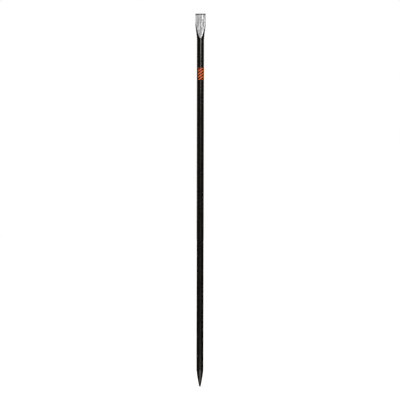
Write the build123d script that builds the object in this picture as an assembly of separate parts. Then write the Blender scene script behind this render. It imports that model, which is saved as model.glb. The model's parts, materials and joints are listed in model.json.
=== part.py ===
from build123d import *

import os
from math import asin, cos, radians, sin, tan

# A digging bar: one long round steel bar with a ground chisel blade at its top end and a
# tapered point at its bottom end. The bar is enamelled, and a small mark is printed on it.
#
# Frame, in millimetres: +Z runs up the bar's axis towards the blade, the origin is on the axis
# at mid-length, X runs across the blade's width and -Y is the side that carries the mark.

# Driving dimensions of the finished bar
LENGTH = 1500.0
BAR_DIAMETER = 28.6
ENAMEL_THICKNESS = 0.3

# Chisel blade, with heights measured down from the cutting edge
BLADE_WIDTH = 41.0
SPREAD_ROOT = 106.0  # where the round bar starts to widen
SPREAD_FULL = 48.0  # where it has widened to the blade's width
SPREAD_POWER = 1.25  # 1 would widen in a straight line, more starts gently
SPREAD_SECTIONS = 5
BLADE_THICKNESS = 3.2  # at the foot of the cutting bevels
FACE_ANGLE = 7.6  # of each ground face to the bar's axis
CUTTING_BEVEL_HEIGHT = 4.5
CUTTING_EDGE_LAND = 0.3  # the flat left along the cutting edge
BLADE_CORNER_RADIUS = 1.2

# Point
POINT_LENGTH = 66.0
POINT_TIP_RADIUS = 4.0
POINT_SWELL = 0.8  # how far the taper's side bows out of a straight line

# Printed mark: a rounded patch of slanted bars, wrapped onto the -Y side
MARK_TOP = 219.0  # below the cutting edge
MARK_HEIGHT = 48.0
MARK_WIDTH = 20.0  # straight across, not along the arc
MARK_SIDE_SHIFT = 0.8  # the print isn't quite in line with the blade
MARK_CORNER_RADIUS = 4.0
MARK_THICKNESS = 0.1
MARK_GAPS = 3
MARK_GAP_WIDTH = 4.6
MARK_SLANT = 35.0

EDGE_Z = LENGTH / 2
TIP_Z = -LENGTH / 2
BAR_RADIUS = BAR_DIAMETER / 2
ROOT_Z = EDGE_Z - SPREAD_ROOT
SHOULDER_Z = TIP_Z + POINT_LENGTH
CLEARANCE = 2.0  # how far the grinding form stands clear of what it doesn't cut


def spread_half_width(height):
    """Half the forged blade's width at a height above the root of the spread."""
    widening = BLADE_WIDTH / 2 - BAR_RADIUS
    share = height / (SPREAD_ROOT - SPREAD_FULL)
    return BAR_RADIUS + widening * share**SPREAD_POWER


def forged_blade(inset):
    """The spread end before grinding: a round section growing into a wide oval one."""
    sections = [Plane.XY.offset(ROOT_Z) * Circle(BAR_RADIUS - inset)]
    for step in range(1, SPREAD_SECTIONS):
        height = SPREAD_ROOT * step / (SPREAD_SECTIONS - 1)
        oval = Ellipse(spread_half_width(height) - inset, BAR_RADIUS - inset)
        sections.append(Plane.XY.offset(ROOT_Z + height) * oval)
    return loft(sections)


def shaft_and_point(inset):
    """The round bar from the root of the spread down to the rounded tip, as one turned profile."""
    radius = BAR_RADIUS - inset
    ball_radius = POINT_TIP_RADIUS - inset
    ball_z = TIP_Z + POINT_TIP_RADIUS

    # the taper's side leaves the tip's ball where the two have the same direction
    side_length = POINT_LENGTH - POINT_TIP_RADIUS
    side_angle = asin((BAR_RADIUS - POINT_TIP_RADIUS) / side_length)
    start_angle = side_angle + 4 * POINT_SWELL / side_length
    tip = (0, ball_z - ball_radius)
    side_start = (
        ball_radius * cos(start_angle),
        ball_z - ball_radius * sin(start_angle),
    )
    shoulder = (radius, SHOULDER_Z)

    with BuildSketch(Plane.XZ) as profile:
        with BuildLine():
            RadiusArc(tip, side_start, -ball_radius)
            SagittaArc(side_start, shoulder, -POINT_SWELL)
            Polyline(shoulder, (radius, ROOT_Z), (0, ROOT_Z), tip)
        make_face()
    return revolve(profile.sketch, Axis.Z)


def bar_form(inset):
    """The whole forged bar before grinding, set in from the finished outside by inset."""
    return shaft_and_point(inset) + forged_blade(inset)


def grinding_form():
    """All that the wheel leaves: the space between the ground faces, sides and cutting bevels."""
    clear_of_bar = BAR_RADIUS + CLEARANCE
    bevel_foot_z = EDGE_Z - CUTTING_BEVEL_HEIGHT
    face_run = (clear_of_bar - BLADE_THICKNESS / 2) / tan(radians(FACE_ANGLE))
    half_outline = [
        (CUTTING_EDGE_LAND / 2, EDGE_Z),
        (BLADE_THICKNESS / 2, bevel_foot_z),
        (clear_of_bar, bevel_foot_z - face_run),
        (clear_of_bar, TIP_Z - CLEARANCE),
    ]
    other_half = [(-y, z) for y, z in reversed(half_outline)]
    outline = Plane.YZ * make_face(Polyline(*half_outline, *other_half, close=True))
    form = extrude(outline, BLADE_WIDTH / 2, both=True)
    blade_corners = form.edges().filter_by(Axis.Y).group_by(Axis.Z)[-1]
    return fillet(blade_corners, BLADE_CORNER_RADIUS)


def mark_artwork():
    """The mark laid flat: a rounded patch with slanted gaps cut across it."""
    patch = RectangleRounded(MARK_WIDTH, MARK_HEIGHT, MARK_CORNER_RADIUS)
    pitch = MARK_HEIGHT / (MARK_GAPS + 1)
    for gap in range(MARK_GAPS):
        height = (gap + 1) * pitch - MARK_HEIGHT / 2
        cut = Rectangle(2 * MARK_HEIGHT, MARK_GAP_WIDTH)
        patch -= Pos(0, height) * Rot(0, 0, MARK_SLANT) * cut
    return patch


def printed_mark():
    """The artwork pressed straight onto the bar's -Y side, as a thin film on the enamel."""
    centre_z = EDGE_Z - MARK_TOP - MARK_HEIGHT / 2
    in_front = Plane((MARK_SIDE_SHIFT, -BAR_DIAMETER, centre_z), (1, 0, 0), (0, -1, 0))
    stamp = extrude(in_front * mark_artwork(), -BAR_DIAMETER)
    sleeve_height = 2 * MARK_HEIGHT
    film = Cylinder(BAR_RADIUS + MARK_THICKNESS, sleeve_height)
    film -= Cylinder(BAR_RADIUS, sleeve_height)
    return stamp & (Pos(0, 0, centre_z) * film)


ground = grinding_form()
steel_form = bar_form(ENAMEL_THICKNESS)
nodes = {
    "forged_bar": steel_form & ground,
    "enamel_coat": (bar_form(0) - steel_form) & ground,
    "printed_mark": printed_mark(),
}

os.makedirs("parts", exist_ok=True)
for name, shape in nodes.items():
    shape.label = name
    export_step(shape, f"parts/{name}.step")
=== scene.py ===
import json
import math

import bmesh
import bpy
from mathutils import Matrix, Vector, noise


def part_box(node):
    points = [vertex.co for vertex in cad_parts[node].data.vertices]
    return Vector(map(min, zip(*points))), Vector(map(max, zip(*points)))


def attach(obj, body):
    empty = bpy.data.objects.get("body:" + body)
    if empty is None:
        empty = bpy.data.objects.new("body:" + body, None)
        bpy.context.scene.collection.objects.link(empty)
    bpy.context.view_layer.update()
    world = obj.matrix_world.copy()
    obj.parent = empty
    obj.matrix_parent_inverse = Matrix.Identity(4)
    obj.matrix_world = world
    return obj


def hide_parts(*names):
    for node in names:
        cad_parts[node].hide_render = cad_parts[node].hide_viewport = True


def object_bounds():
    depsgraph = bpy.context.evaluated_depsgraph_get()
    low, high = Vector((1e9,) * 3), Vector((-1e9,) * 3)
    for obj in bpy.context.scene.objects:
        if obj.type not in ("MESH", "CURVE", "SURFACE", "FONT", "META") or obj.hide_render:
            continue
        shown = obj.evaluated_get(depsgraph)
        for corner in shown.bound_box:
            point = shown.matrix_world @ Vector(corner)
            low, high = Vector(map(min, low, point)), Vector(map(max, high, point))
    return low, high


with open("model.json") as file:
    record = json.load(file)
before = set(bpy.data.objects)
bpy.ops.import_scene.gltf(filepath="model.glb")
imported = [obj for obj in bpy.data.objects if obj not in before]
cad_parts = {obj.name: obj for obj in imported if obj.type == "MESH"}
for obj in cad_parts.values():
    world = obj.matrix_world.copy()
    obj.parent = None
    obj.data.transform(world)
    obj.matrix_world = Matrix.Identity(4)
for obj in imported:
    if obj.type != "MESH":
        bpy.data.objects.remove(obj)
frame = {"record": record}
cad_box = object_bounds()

# The digging bar stands on its point with its axis on the world's Z axis, in metres.
# -Y is the side that carries the printed mark, which the camera faces.

MM = 0.001

# ---------------------------------------------------------------- sizes, from the frame
mounts = {mount["name"]: mount for mount in frame["record"]["mounts"]}
face_mount = mounts["blade_face_front"]
mark_low, mark_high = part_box("printed_mark")

BAR_RADIUS = mounts["shaft_grip"]["dims"]["r_mm"] * MM
TIP_Z = cad_box[0].z
EDGE_Z = cad_box[1].z
BAR_LENGTH = EDGE_Z - TIP_Z
BLADE_HALF_WIDTH = (cad_box[1].x - cad_box[0].x) / 2
FACE_SLOPE = -face_mount["axis"][2] / face_mount["axis"][1]
FACE_DEPTH = -face_mount["pos_m"][1]
FACE_Z = face_mount["pos_m"][2]

# ---------------------------------------------------------------- the bar's other sizes
ENAMEL = 0.12 * MM  # the true thickness of the coat
SPREAD_ROOT = 106 * MM  # below the cutting edge
SPREAD_FULL = 48 * MM
SPREAD_POWER = 1.25
POINT_LENGTH = 66 * MM
POINT_TIP_RADIUS = 4 * MM
POINT_SWELL = 0.8 * MM
BEVEL_HEIGHT = 4.5 * MM
EDGE_HALF_LAND = 0.15 * MM
BLADE_CORNER_RADIUS = 1.2 * MM

ROOT_Z = EDGE_Z - SPREAD_ROOT
SHOULDER_Z = TIP_Z + POINT_LENGTH
BEVEL_FOOT_Z = EDGE_Z - BEVEL_HEIGHT
BEVEL_FOOT_DEPTH = FACE_DEPTH - (BEVEL_FOOT_Z - FACE_Z) * FACE_SLOPE
GROUND_FROM_Z = ROOT_Z - 20 * MM  # safely below the lowest place that the wheel reached

# ---------------------------------------------------------------- mesh density
AROUND = 96
QUARTER = AROUND // 4
FACE_COLUMNS = 72
SIDE_COLUMNS = 10
BALL_ROWS = 8
POINT_ROWS = 48
HAMMERED_REACH = 60 * MM  # how far from the blade and the point the shaft shows the hammer
HAMMERED_ROW = 1.6 * MM
SHAFT_ROW = 5 * MM
BLADE_ROW = 0.8 * MM
BEVEL_ROWS = 12
BISECTIONS = 40  # halvings when the line between ground steel and forged skin is sought


# ================================================================= the bar's form
def smooth_step(low, high, value):
    """0 below low, 1 above high, and an even curve between."""
    share = min(max((value - low) / (high - low), 0), 1)
    return share * share * (3 - 2 * share)


def forging_dent(place, z):
    """How far the forged skin lies inside the true form, as a number below 0: rolled stock is
    nearly straight, and the hammered ends are a little uneven."""
    rolled = 0.02 * MM * (noise.noise(place / (60 * MM)) - 1)
    blade_end = smooth_step(ROOT_Z - HAMMERED_REACH, ROOT_Z + 20 * MM, z)
    point_end = 1 - smooth_step(SHOULDER_Z - 10 * MM, SHOULDER_Z + HAMMERED_REACH, z)
    hammered = 0.07 * MM * (noise.noise(place / (16 * MM)) - 1)
    hammered += 0.012 * MM * noise.noise(place / (6 * MM) + Vector((7, 3, 1)))
    return rolled + max(blade_end, point_end) * hammered


def spread_half_width(z):
    """Half the forged blade's width before its sides are ground."""
    share = max(z - ROOT_Z, 0) / (SPREAD_ROOT - SPREAD_FULL)
    return BAR_RADIUS + (BLADE_HALF_WIDTH - BAR_RADIUS) * share**SPREAD_POWER


def point_stations():
    """The turned point from its tip to the shoulder, as (radius, z, outward direction)."""
    ball_z = TIP_Z + POINT_TIP_RADIUS
    side_length = POINT_LENGTH - POINT_TIP_RADIUS
    side_angle = math.asin((BAR_RADIUS - POINT_TIP_RADIUS) / side_length)
    start_angle = side_angle + 4 * POINT_SWELL / side_length
    stations = []
    for row in range(BALL_ROWS):
        angle = -math.pi / 2 + (math.pi / 2 - start_angle) * row / BALL_ROWS
        out = Vector((math.cos(angle), math.sin(angle)))
        stations.append((POINT_TIP_RADIUS * out.x, ball_z + POINT_TIP_RADIUS * out.y, out))
    start = Vector((math.cos(start_angle), -math.sin(start_angle))) * POINT_TIP_RADIUS
    start.y += ball_z
    chord = Vector((BAR_RADIUS, SHOULDER_Z)) - start
    swell = Vector((chord.y, -chord.x)).normalized() * POINT_SWELL
    for row in range(POINT_ROWS):
        share = row / POINT_ROWS
        place = start + chord * share + swell * 4 * share * (1 - share)
        along = chord + swell * 4 * (1 - 2 * share)
        out = Vector((along.y, -along.x)).normalized()
        stations.append((place.x, place.y, out))
    return stations


def evenly(low, high, step):
    """Heights from low to just short of high, no more than a step apart."""
    count = math.ceil((high - low) / step)
    return [low + (high - low) * i / count for i in range(count)]


class Row:
    """One level of the forged form: an oval of half-width across and half-depth deep."""

    def __init__(self, across, deep, z, out=None):
        self.across = across
        self.deep = deep
        self.z = z
        self.out = out or Vector((1, 0))

    def point(self, turn, side, face, inset):
        """The form's skin at a turn of 0 at the side to a quarter at the face's middle."""
        cos, sin = side * math.cos(turn), face * math.sin(turn)
        outside = Vector((self.across * cos, self.deep * sin, self.z))
        shift = forging_dent(outside, self.z) - inset
        place = outside + Vector((cos * self.out.x, sin * self.out.x, self.out.y)) * shift
        place.x = min(max(place.x, -BLADE_HALF_WIDTH), BLADE_HALF_WIDTH)
        return place


def forged_rows():
    """All levels of the forged form, from the tip up to the height where the coat has ended."""
    rows = [Row(radius, radius, z, out) for radius, z, out in point_stations()]
    plain_from, plain_to = SHOULDER_Z + HAMMERED_REACH, ROOT_Z - HAMMERED_REACH
    shaft_levels = evenly(SHOULDER_Z, plain_from, HAMMERED_ROW)
    shaft_levels += evenly(plain_from, plain_to, SHAFT_ROW)
    shaft_levels += evenly(plain_to, ROOT_Z, HAMMERED_ROW)
    rows += [Row(BAR_RADIUS, BAR_RADIUS, z) for z in shaft_levels]
    for z in evenly(ROOT_Z, BEVEL_FOOT_Z, BLADE_ROW):
        rows.append(Row(spread_half_width(z), BAR_RADIUS, z))
    return rows


# ================================================================= the ground surfaces
RIM_WIDTH = 3.4 * MM  # where the wheel rolled off towards the coat
RIM_DROP = 0.2 * MM
RIM_NONE = 35 * MM  # below the edge, where the rim begins
RIM_FULL = 60 * MM

# The wheel's hollows in the front face, as (across, below the edge, half width, half length,
# depth), all in mm. The back face has the same ones turned about the bar's axis.
HOLLOWS = (
    (10.8, 14, 4.2, 30, 0.34),
    (8, 46, 4.5, 20, 0.07),
    (-9, 26, 5, 20, 0.16),
    (-4, 64, 4, 24, 0.07),
    (-15, 8, 5, 34, 0.12),
)


def hollow_at(x, below_edge):
    """How deep the wheel has cut under the face's plane."""
    cut = 0
    for across, below, half_width, half_length, depth in HOLLOWS:
        offset = abs(x - across * MM) / (half_width * MM)
        length = abs(below_edge - below * MM) / (half_length * MM)
        if offset < 1 and length < 1:
            cut += depth * MM * math.cos(offset * math.pi / 2) ** 2 * (1 - length**2) ** 2
    return cut


def plane_depth(z):
    """Half the blade's thickness between its two ground planes."""
    return FACE_DEPTH + (FACE_Z - z) * FACE_SLOPE


def ground_half_width(z):
    """Roughly how far across the ground face reaches before it meets the forged skin."""
    share = min(plane_depth(z) / BAR_RADIUS, 1)
    reach = spread_half_width(z) * math.sqrt(1 - share * share)
    return min(reach, BLADE_HALF_WIDTH)


def wheel_marks(x, z, face):
    """The long shallow hollows and ridges that grinding by hand leaves along the blade."""
    lengthwise = Vector((x / (4 * MM), 11.3 * face, z / (42 * MM)))
    patches = Vector((x / (11 * MM), 4.7 * face, z / (17 * MM)))
    waves = 0.12 * MM * noise.noise(lengthwise) + 0.06 * MM * noise.noise(patches)
    return waves - hollow_at(-face * x, EDGE_Z - z)


def ground_depth(x, z, face):
    """How deep the ground surface lies from the blade's middle plane, at a place on it."""
    if z >= BEVEL_FOOT_Z:
        share = (z - BEVEL_FOOT_Z) / BEVEL_HEIGHT
        foot = BEVEL_FOOT_DEPTH + wheel_marks(x, BEVEL_FOOT_Z, face)
        return foot + (EDGE_HALF_LAND - foot) * share
    rolled_off = 1 - min(max((ground_half_width(z) - abs(x)) / RIM_WIDTH, 0), 1)
    lower_part = 1 - smooth_step(EDGE_Z - RIM_FULL, EDGE_Z - RIM_NONE, z)
    rim = RIM_DROP * lower_part * rolled_off**2
    return plane_depth(z) - rim + wheel_marks(x, z, face)


def side_reach(z):
    """Half the ground width of the blade, with its two top corners rounded."""
    over = z - (EDGE_Z - BLADE_CORNER_RADIUS)
    if over <= 0:
        return BLADE_HALF_WIDTH
    rounding = math.sqrt(max(BLADE_CORNER_RADIUS**2 - over**2, 0))
    return BLADE_HALF_WIDTH - BLADE_CORNER_RADIUS + rounding


def crossing(below, above, is_above):
    """The turn between below and above where is_above changes."""
    for _ in range(BISECTIONS):
        middle = (below + above) / 2
        if is_above(middle):
            above = middle
        else:
            below = middle
    return (below + above) / 2


def ground_limits(row, side, face, inset):
    """The turns between which a level's skin is left unground, from the side to the face."""

    def over_face(turn):
        place = row.point(turn, side, face, inset)
        return abs(place.y) > ground_depth(place.x, row.z, face)

    def inside_side(turn):
        return abs(row.point(turn, side, face, inset).x) < side_reach(row.z)

    to_face = math.pi / 2
    to_side = 0.0
    if row.z > GROUND_FROM_Z and over_face(to_face):
        to_face = crossing(0, to_face, over_face)
    if not inside_side(0):
        to_side = crossing(0, math.pi / 2, inside_side)
    return to_side, to_face


# ================================================================= mesh building
class Skin:
    """Gathers grids of points and turns them into one welded mesh."""

    def __init__(self):
        self.points = []
        self.faces = []
        self.zones = []

    def grid(self, rows, zone):
        """Quads between neighbouring rows, which all have the same number of points."""
        first = len(self.points)
        width = len(rows[0])
        for row in rows:
            self.points.extend(row)
        for level in range(len(rows) - 1):
            for column in range(width - 1):
                corner = first + level * width + column
                self.faces.append((corner, corner + 1, corner + width + 1, corner + width))
                self.zones.append(zone)

    def build(self, name, weld):
        """The welded object, with a crease wherever two zones meet."""
        mesh = bpy.data.meshes.new(name)
        mesh.from_pydata(self.points, [], self.faces)
        piece = bpy.data.objects.new(name, mesh)
        bpy.context.scene.collection.objects.link(piece)
        shape = bmesh.new()
        shape.from_mesh(mesh)
        zone_layer = shape.faces.layers.int.new("zone")
        shape.faces.ensure_lookup_table()
        for face, zone in zip(shape.faces, self.zones):
            face[zone_layer] = zone
        bmesh.ops.remove_doubles(shape, verts=shape.verts, dist=weld)
        bmesh.ops.dissolve_degenerate(shape, edges=shape.edges, dist=weld)
        loose = [edge for edge in shape.edges if not edge.link_faces]
        bmesh.ops.delete(shape, geom=loose, context="EDGES")
        alone = [vertex for vertex in shape.verts if not vertex.link_faces]
        bmesh.ops.delete(shape, geom=alone, context="VERTS")
        bmesh.ops.recalc_face_normals(shape, faces=shape.faces)
        for face in shape.faces:
            face.smooth = True
        for edge in shape.edges:
            zones = {face[zone_layer] for face in edge.link_faces}
            edge.smooth = len(zones) < 2
        shape.to_mesh(mesh)
        shape.free()
        return piece


SIDES_AND_FACES = ((-1, -1), (1, -1), (1, 1), (-1, 1))
WELD = 1e-6


def quarter_points(row, side, face, inset, limits):
    """A level's unground skin within one quarter, from the side to the face."""
    low, high = limits
    if low >= high:
        reach = side_reach(row.z)
        corner = Vector((side * reach, face * ground_depth(side * reach, row.z, face), row.z))
        return [corner] * (QUARTER + 1)
    turns = [low + (high - low) * i / QUARTER for i in range(QUARTER + 1)]
    return [row.point(turn, side, face, inset) for turn in turns]


def steel_rows_of_face(levels, corners, face):
    """A ground face's rows, each from its left corner to its right one."""
    rows = []
    for z in levels:
        left, right = corners[z, -1, face][1], corners[z, 1, face][1]
        if right.x - left.x < WELD:
            rows.append([left] * (FACE_COLUMNS + 1))
            continue
        row = [left]
        for column in range(1, FACE_COLUMNS):
            x = left.x + (right.x - left.x) * column / FACE_COLUMNS
            row.append(Vector((x, face * ground_depth(x, z, face), z)))
        rows.append(row + [right])
    return rows


def steel_rows_of_side(levels, corners, side):
    """A ground side's rows, each from the front face's corner to the back one's."""
    rows = []
    for z in levels:
        front, back = corners[z, side, -1][0], corners[z, side, 1][0]
        shares = [column / SIDE_COLUMNS for column in range(SIDE_COLUMNS + 1)]
        rows.append([front.lerp(back, share) for share in shares])
    return rows


def build_steel():
    """The forging: its skin under the coat, and the bare ground faces, sides and edge."""
    skin = Skin()
    rows = forged_rows()
    corners = {}
    for side, face in SIDES_AND_FACES:
        grid = []
        for row in rows:
            limits = ground_limits(row, side, face, ENAMEL)
            points = quarter_points(row, side, face, ENAMEL, limits)
            corners[row.z, side, face] = (points[0], points[-1])
            grid.append(points)
        skin.grid(grid, zone=0)
    bevel_levels = [BEVEL_FOOT_Z + BEVEL_HEIGHT * i / BEVEL_ROWS for i in range(BEVEL_ROWS + 1)]
    for z in bevel_levels:
        for side, face in SIDES_AND_FACES:
            reach = side * side_reach(z)
            corner = Vector((reach, face * ground_depth(reach, z, face), z))
            corners[z, side, face] = (corner, corner)
    blade_levels = [row.z for row in rows if row.z > GROUND_FROM_Z]
    for face in (-1, 1):
        skin.grid(steel_rows_of_face(blade_levels + bevel_levels[:1], corners, face), 1)
        skin.grid(steel_rows_of_face(bevel_levels, corners, face), 2)
    for side in (-1, 1):
        skin.grid(steel_rows_of_side(blade_levels + bevel_levels, corners, side), 3)
    front, back = (steel_rows_of_face([EDGE_Z], corners, face)[0] for face in (-1, 1))
    shares = [row / SIDE_COLUMNS for row in range(SIDE_COLUMNS + 1)]
    skin.grid([[a.lerp(b, share) for a, b in zip(front, back)] for share in shares], 4)
    return skin.build("steel_forging", WELD)


def chipped_back(place):
    """How far the coat has flaked back from the ground steel's edge."""
    fine = noise.noise(place / (1.8 * MM))
    coarse = noise.noise(place / (7 * MM) + Vector((2, 5, 8)))
    return MM * (0.02 + 0.10 * max(fine, 0) + 0.5 * max(coarse - 0.4, 0))


def coat_limits(row, side, face):
    """The turns between which the coat's outer and inner skins reach at a level, chipped back a
    little from the ground steel, and whether its side and its face are open there."""
    outside = ground_limits(row, side, face, 0)
    inside = ground_limits(row, side, face, ENAMEL)
    open_side = min(outside[0], inside[0]) > 0
    open_face = max(outside[1], inside[1]) < math.pi / 2
    limits = []
    for (low, high), inset in ((outside, 0), (inside, ENAMEL)):
        low_chip = chipped_back(row.point(low, side, face, 0)) / BAR_RADIUS
        high_chip = chipped_back(row.point(high, side, face, 0)) / BAR_RADIUS
        low = low + low_chip if open_side else 0
        high = high - high_chip if open_face else math.pi / 2
        limits.append((low, high))
    return limits, open_side, open_face


def build_enamel():
    """The coat: an outer skin, an inner one on the steel, and the thin rims between them."""
    skin = Skin()
    rows = forged_rows()
    for side, face in SIDES_AND_FACES:
        outer, inner, opened = [], [], []
        for row in rows:
            limits, open_side, open_face = coat_limits(row, side, face)
            if any(low >= high for low, high in limits):
                break
            outer.append(quarter_points(row, side, face, 0, limits[0]))
            inner.append(quarter_points(row, side, face, ENAMEL, limits[1]))
            opened.append((open_side, open_face))
        tongue_tip = (outer[-1][QUARTER // 2] + inner[-1][QUARTER // 2]) / 2
        tongue_tip.z += BLADE_ROW
        outer.append([tongue_tip] * (QUARTER + 1))
        inner.append([tongue_tip] * (QUARTER + 1))
        opened.append((True, True))
        skin.grid(outer, zone=0)
        skin.grid(inner, zone=1)
        for rim, column in ((0, 0), (1, QUARTER)):
            first_open = [flags[rim] for flags in opened].index(True)
            edge = zip(outer[first_open - 1 :], inner[first_open - 1 :])
            skin.grid([[out[column], within[column]] for out, within in edge], 2 + rim)
    return skin.build("black_enamel", WELD)


# ================================================================= the printed mark
MARK_FILM = 0.05 * MM
MARK_SUNK = 0.02 * MM  # how far the film's back lies inside the enamel
MARK_CORNER = 4 * MM
MARK_GAPS = 3
MARK_GAP = 4.6 * MM
MARK_SLANT = math.radians(35)
MARK_RAGGED = 0.12 * MM  # how far the print's edges stray
MARK_COLUMN = 0.25 * MM
MARK_ROWS = 14
MARK_SLIVER = 0.05 * MM  # a column of a bar no higher than this is left out
FEWEST_COLUMNS = 3  # and so is a bar that has fewer than these


def panel_ends(x):
    """The lowest and highest z of the mark's rounded panel at a place across it."""
    middle = (mark_low.x + mark_high.x) / 2
    half = (mark_high.x - mark_low.x) / 2
    into_corner = max(abs(x - middle) - (half - MARK_CORNER), 0)
    cut = MARK_CORNER - math.sqrt(max(MARK_CORNER**2 - into_corner**2, 0))
    return mark_low.z + cut, mark_high.z - cut


def bar_ends(x, index):
    """The lowest and highest z of one slanted bar of the mark, before the panel cuts it."""
    pitch = (mark_high.z - mark_low.z) / (MARK_GAPS + 1)
    middle = (mark_low.x + mark_high.x) / 2
    centre = mark_low.z + pitch * (index + 0.5) + math.tan(MARK_SLANT) * (x - middle)
    half_gap = MARK_GAP / math.cos(MARK_SLANT) / 2
    low = centre - pitch / 2 + half_gap
    high = centre + pitch / 2 - half_gap
    return low, high


def mark_point(x, z, height):
    """A place on the bar's front, a height above the enamel."""
    turn = math.acos(max(-1, min(1, abs(x) / BAR_RADIUS)))
    row = Row(BAR_RADIUS, BAR_RADIUS, z)
    return row.point(turn, math.copysign(1, x), -1, -height)


def bar_columns(index):
    """One slanted bar inside the panel, as (x, lowest z, highest z) from left to right."""
    columns = []
    steps = round((mark_high.x - mark_low.x) / MARK_COLUMN)
    for step in range(steps + 1):
        x = mark_low.x + (mark_high.x - mark_low.x) * step / steps
        panel_low, panel_high = panel_ends(x)
        ragged = MARK_RAGGED * noise.noise(Vector((x / (0.7 * MM), index * 3.1, 0)))
        bar_low, bar_high = bar_ends(x, index)
        low = max(panel_low, bar_low + ragged)
        high = min(panel_high, bar_high - ragged)
        if high - low > MARK_SLIVER:
            columns.append((x, low, high))
    return columns


def build_mark():
    """The printed mark's slanted bars, each a thin film that wraps the shaft."""
    skin = Skin()
    # the slant brings a few more bars into the panel than there are between its gaps
    spare = MARK_GAPS // 2
    for index in range(-spare, MARK_GAPS + 1 + spare):
        front, back = [], []
        for x, low, high in bar_columns(index):
            levels = [low + (high - low) * i / MARK_ROWS for i in range(MARK_ROWS + 1)]
            front.append([mark_point(x, z, MARK_FILM) for z in levels])
            back.append([mark_point(x, z, -MARK_SUNK) for z in levels])
        if len(front) < FEWEST_COLUMNS:
            continue
        skin.grid(front, 0)
        skin.grid(back, 0)
        skin.grid([[a[0], b[0]] for a, b in zip(front, back)], 1)
        skin.grid([[a[-1], b[-1]] for a, b in zip(front, back)], 2)
        for end, zone in ((0, 3), (-1, 4)):
            skin.grid([front[end], back[end]], zone)
    return skin.build("orange_mark", WELD)


# ================================================================= materials
class Finish:
    """A material under construction: its node tree, and its one shader."""

    def __init__(self, name):
        self.material = bpy.data.materials.new(name)
        self.material.use_nodes = True
        self.tree = self.material.node_tree
        self.shader = self.tree.nodes["Principled BSDF"]

    def add(self, kind, inputs, **settings):
        """A new node with its settings made, and its inputs linked or set."""
        node = self.tree.nodes.new(kind)
        for name, value in settings.items():
            setattr(node, name, value)
        self.feed(node, inputs)
        return node

    def feed(self, node, inputs):
        for name, value in inputs.items():
            if isinstance(value, bpy.types.NodeSocket):
                self.tree.links.new(value, node.inputs[name])
            else:
                node.inputs[name].default_value = value

    def grain(self, across, along, detail=2, seed=0):
        """Noise from 0 to 1 whose grains are so long across and along the bar, in metres."""
        place = self.add("ShaderNodeTexCoord", {}).outputs["Object"]
        scale = (1 / across, 1 / across, 1 / along)
        stretched = self.add("ShaderNodeMapping", {"Vector": place, "Scale": scale})
        stretched.inputs["Location"].default_value = (seed, seed * 1.7, seed * 0.6)
        inputs = {"Vector": stretched.outputs["Vector"], "Scale": 1, "Detail": detail}
        return self.add("ShaderNodeTexNoise", inputs).outputs["Fac"]

    def between(self, value, low, high, to_low=0, to_high=1):
        """Value's range low to high, mapped evenly and held at its ends."""
        inputs = {"Value": value, "From Min": low, "From Max": high}
        inputs |= {"To Min": to_low, "To Max": to_high}
        return self.add("ShaderNodeMapRange", inputs).outputs["Result"]

    def mixed(self, share, first, second):
        """The colour first where share is 0, and second where it is 1."""
        node = self.add("ShaderNodeMix", {}, data_type="RGBA")
        self.feed(node, {"Factor": share})
        for socket, colour in ((node.inputs[6], first), (node.inputs[7], second)):
            if isinstance(colour, bpy.types.NodeSocket):
                self.tree.links.new(colour, socket)
            else:
                socket.default_value = (*colour, 1)
        return node.outputs[2]

    def bumped(self, height, distance, under=None):
        """A surface normal with this height's relief, on top of another relief."""
        inputs = {"Height": height, "Distance": distance}
        if under:
            inputs["Normal"] = under
        return self.add("ShaderNodeBump", inputs).outputs["Normal"]


def steel_finish():
    """Hand-ground steel: bright, streaked lengthwise by the wheel, with duller patches."""
    steel = Finish("ground_steel")
    streaks = steel.grain(0.7 * MM, 22 * MM, detail=3)
    scratches = steel.grain(0.18 * MM, 9 * MM, detail=2, seed=3)
    patches = steel.grain(6 * MM, 11 * MM, detail=3, seed=8)
    dull = steel.between(patches, 0.48, 0.66)
    streak = steel.between(streaks, 0.3, 0.7)
    bright = steel.mixed(streak, (0.58, 0.58, 0.58), (0.78, 0.78, 0.78))
    colour = steel.mixed(dull, bright, (0.36, 0.35, 0.34))
    rough = steel.between(streaks, 0.3, 0.7, 0.20, 0.32)
    relief = steel.bumped(streaks, 0.006 * MM)
    relief = steel.bumped(scratches, 0.0015 * MM, relief)
    relief = steel.bumped(patches, 0.05 * MM, relief)
    steel.feed(steel.shader, {"Base Color": colour, "Metallic": 1, "Roughness": rough})
    steel.feed(steel.shader, {"Normal": relief})
    return steel.material


def enamel_finish():
    """Warm black enamel: semi-gloss, with orange peel, rubbed patches and fine scuffs."""
    paint = Finish("black_enamel")
    peel = paint.grain(1.3 * MM, 1.6 * MM, detail=1)
    patches = paint.grain(14 * MM, 60 * MM, detail=3, seed=5)
    scuffs = paint.grain(0.35 * MM, 16 * MM, detail=2, seed=11)
    scuffed = paint.between(scuffs, 0.66, 0.74)
    worn = paint.between(patches, 0.35, 0.65)
    body = paint.mixed(worn, (0.0044, 0.0031, 0.0023), (0.0064, 0.0046, 0.0035))
    colour = paint.mixed(scuffed, body, (0.022, 0.020, 0.018))
    rough = paint.between(patches, 0.3, 0.7, 0.20, 0.30)
    relief = paint.bumped(peel, 0.003 * MM)
    relief = paint.bumped(scuffed, 0.002 * MM, relief)
    paint.feed(paint.shader, {"Base Color": colour, "Roughness": rough, "Normal": relief})
    paint.feed(paint.shader, {"Specular Tint": (1, 0.93, 0.86, 1)})
    return paint.material


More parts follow.
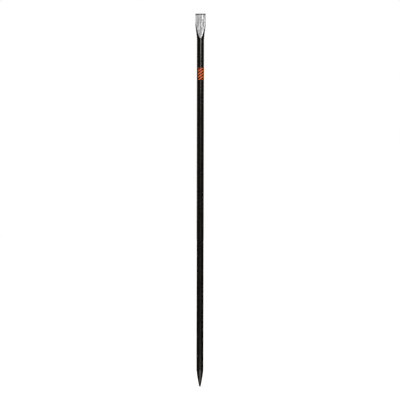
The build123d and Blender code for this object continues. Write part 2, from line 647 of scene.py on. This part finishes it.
def mark_finish():
    """Orange print, a little mottled, with pinholes where the enamel shows through."""
    ink = Finish("orange_print")
    mottle = ink.grain(2.2 * MM, 2.2 * MM, detail=3, seed=2)
    pinholes = ink.grain(0.4 * MM, 0.4 * MM, detail=1, seed=9)
    orange = ink.mixed(mottle, (0.76, 0.125, 0.010), (0.58, 0.068, 0.007))
    colour = ink.mixed(ink.between(pinholes, 0.70, 0.76), orange, (0.03, 0.012, 0.008))
    rough = ink.between(mottle, 0.3, 0.7, 0.40, 0.54)
    relief = ink.bumped(pinholes, 0.006 * MM)
    ink.feed(ink.shader, {"Base Color": colour, "Roughness": rough, "Normal": relief})
    ink.feed(ink.shader, {"Specular IOR Level": 0.3})
    return ink.material


def floor_finish():
    """Plain white paper."""
    paper = Finish("white_paper")
    paper.feed(paper.shader, {"Base Color": (0.9, 0.9, 0.9, 1), "Roughness": 0.9})
    return paper.material


# ================================================================= studio
VIEW_HEIGHT = 1.61  # of the picture, at the bar
CAMERA_DISTANCE = 8
SENSOR = 36
FLOOR_SIZE = 60
BACKDROP_WHITE = 1.0
ROOM_GREY = 0.02
FLOOR_LIGHT = 4.6
FLOOR_LIGHT_ANGLE = math.radians(60)
CAMERA_SHIFT = -0.8 * MM
CAMERA_ROLL = math.radians(-0.1)
LAMP_DISTANCE = 2.2
GLOW_SIZE = 6


def build_floor():
    """A broad sheet of paper just under the bar's point."""
    mesh = bpy.data.meshes.new("floor")
    half = FLOOR_SIZE / 2
    corners = [(-half, -half), (half, -half), (half, half), (-half, half)]
    mesh.from_pydata([(x, y, TIP_Z) for x, y in corners], [], [(0, 1, 2, 3)])
    floor = bpy.data.objects.new("floor", mesh)
    bpy.context.scene.collection.objects.link(floor)
    floor.data.materials.append(floor_finish())
    floor.visible_glossy = False
    floor.visible_shadow = False
    return floor


def only(name, objects):
    """A collection for a lamp that lights these objects alone."""
    group = bpy.data.collections.new(name)
    for item in objects:
        group.objects.link(item)
    return group


def light_floor(floor):
    """An even light from above for the floor alone, so that it is as white as the wall."""
    lamp = bpy.data.lights.new("floor_light", "SUN")
    lamp.energy = FLOOR_LIGHT
    lamp.angle = FLOOR_LIGHT_ANGLE
    light = bpy.data.objects.new("floor_light", lamp)
    light.light_linking.receiver_collection = only("floor_only", [floor])
    bpy.context.scene.collection.objects.link(light)


def softbox(onto, name, turn, low, high, wide, brightness, away=LAMP_DISTANCE):
    """A rectangular lamp between two heights, turned round the bar from the camera's side."""
    tall = high - low
    lamp = bpy.data.lights.new(name, "AREA")
    lamp.shape = "RECTANGLE"
    lamp.size = wide
    lamp.size_y = tall
    lamp.energy = brightness * wide * tall * math.pi
    light = bpy.data.objects.new(name, lamp)
    angle = math.radians(turn)
    outward = Vector((math.sin(angle), -math.cos(angle), 0))
    light.location = outward * away + Vector((0, 0, (low + high) / 2))
    light.rotation_euler = outward.to_track_quat("Z", "Y").to_euler()
    light.visible_camera = False
    light.light_linking.receiver_collection = onto
    bpy.context.scene.collection.objects.link(light)


def glow_from_below(onto, brightness):
    """What the paper would send back up to the pieces, whose reflections leave it out."""
    lamp = bpy.data.lights.new("glow_from_below", "AREA")
    lamp.size = GLOW_SIZE
    lamp.energy = brightness * GLOW_SIZE**2 * math.pi
    light = bpy.data.objects.new("glow_from_below", lamp)
    light.location = (0, 0, TIP_Z)
    light.rotation_euler = (math.pi, 0, 0)
    light.visible_camera = False
    light.light_linking.receiver_collection = onto
    bpy.context.scene.collection.objects.link(light)


def set_room():
    """A white wall behind everything, in a room that is otherwise dim."""
    world = bpy.data.worlds.new("room")
    world.use_nodes = True
    tree = world.node_tree
    seen = tree.nodes.new("ShaderNodeLightPath").outputs["Is Camera Ray"]
    wall = tree.nodes["Background"]
    wall.inputs["Color"].default_value = (BACKDROP_WHITE,) * 3 + (1,)
    room = tree.nodes.new("ShaderNodeBackground")
    room.inputs["Color"].default_value = (ROOM_GREY,) * 3 + (1,)
    either = tree.nodes.new("ShaderNodeMixShader")
    tree.links.new(seen, either.inputs["Fac"])
    tree.links.new(room.outputs[0], either.inputs[1])
    tree.links.new(wall.outputs[0], either.inputs[2])
    tree.links.new(either.outputs[0], tree.nodes["World Output"].inputs["Surface"])
    bpy.context.scene.world = world


def place_camera():
    """A long lens square on to the bar, whose whole height it frames."""
    lens = bpy.data.cameras.new("camera")
    lens.sensor_width = SENSOR
    lens.lens = SENSOR * CAMERA_DISTANCE / VIEW_HEIGHT
    lens.clip_end = 100
    camera = bpy.data.objects.new("camera", lens)
    camera.location = (CAMERA_SHIFT, -CAMERA_DISTANCE, (TIP_Z + EDGE_Z) / 2)
    camera.rotation_euler = (math.pi / 2, CAMERA_ROLL, 0)
    bpy.context.scene.collection.objects.link(camera)
    bpy.context.scene.camera = camera


# ================================================================= the scene
PIECES = (
    (build_steel, steel_finish, "forged_bar", "forged_steel"),
    (build_enamel, enamel_finish, "enamel_coat", "black_enamel"),
    (build_mark, mark_finish, "printed_mark", "orange_print"),
)
pieces = []
for build, finish, node, slot in PIECES:
    piece = build()
    piece.data.materials.append(finish())
    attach(piece, "root")
    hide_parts(node)
    pieces.append(piece)

light_floor(build_floor())
set_room()
steel = only("steel_only", pieces[:1])
paint = only("paint_only", pieces[1:])
softbox(steel, "steel_key", turn=12, low=1.2, high=1.75, wide=0.25, brightness=7.2)
softbox(steel, "steel_left", turn=-14, low=1.2, high=1.75, wide=0.25, brightness=1.8)
softbox(steel, "steel_front", turn=0, low=1.0, high=1.75, wide=2.4, brightness=0.5)
softbox(steel, "steel_back", turn=184, low=1.1, high=1.85, wide=0.8, brightness=1.1)
softbox(steel, "steel_back_wide", turn=180, low=1.0, high=1.85, wide=2.4, brightness=0.3)
for turn in (45, 90, 135, 225, 270, 315):
    softbox(steel, f"steel_low_{turn}", turn, low=-0.4, high=1.1, wide=1.2, brightness=0.7)
glow_from_below(steel, brightness=0.45)
softbox(paint, "key", turn=11, low=0.84, high=1.26, wide=0.40, brightness=32)
softbox(paint, "root", turn=11, low=0.80, high=0.86, wide=0.40, brightness=20)
softbox(paint, "strip", turn=11, low=-1.2, high=1.2, wide=0.3, brightness=0.45)
softbox(paint, "low", turn=5, low=-2.0, high=-1.1, wide=0.32, brightness=20)
softbox(paint, "left", turn=-110, low=-0.1, high=0.7, wide=0.6, brightness=1.0)
softbox(paint, "low_right", turn=65, low=-2.8, high=-1.25, wide=0.5, brightness=1.2, away=4)
softbox(paint, "back_right", turn=150, low=-1.0, high=0.9, wide=0.3, brightness=0.5)
softbox(paint, "back_left", turn=245, low=-1.5, high=0.1, wide=0.3, brightness=1.0)
place_camera()
bpy.context.scene.view_settings.view_transform = "Standard"
